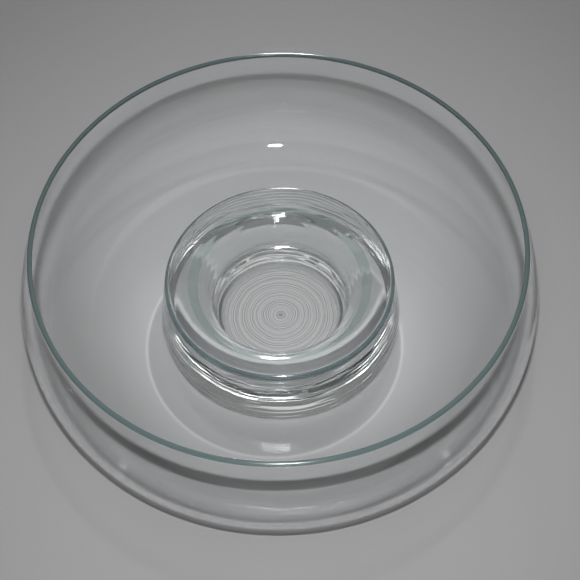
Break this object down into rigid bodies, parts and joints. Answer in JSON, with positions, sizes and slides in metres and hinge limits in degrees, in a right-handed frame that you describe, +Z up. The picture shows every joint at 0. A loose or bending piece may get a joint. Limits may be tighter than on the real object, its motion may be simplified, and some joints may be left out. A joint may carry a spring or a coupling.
{
  "type": "glass dish with centre bowl",
  "caption": "Shallow round glass dish with a bulging wall and a heavy thick-walled glass bowl standing loose in its middle.",
  "frame": {"origin": "middle of the dish's flat foot, on the table", "axes": "+Z up along the axis that both vessels share; X and Y are any two level directions"},
  "size_m": [0.3038, 0.3038, 0.091],
  "materials": {
    "dish_glass": "clear thin glass, slightly green at the polished rim",
    "bowl_glass": "clear thick glass, faint turning rings on its floor, slightly green along the lip"
  },
  "bodies": {
    "dish": {"outer_dish": "dish_glass"},
    "insert": {"centre_bowl": "bowl_glass"}
  },
  "joints": [
    {"name": "bowl_lift", "type": "slide", "parent": "dish", "child": "insert", "axis": [0, 0, 1], "range_m": [0, 0.1]}
  ]
}
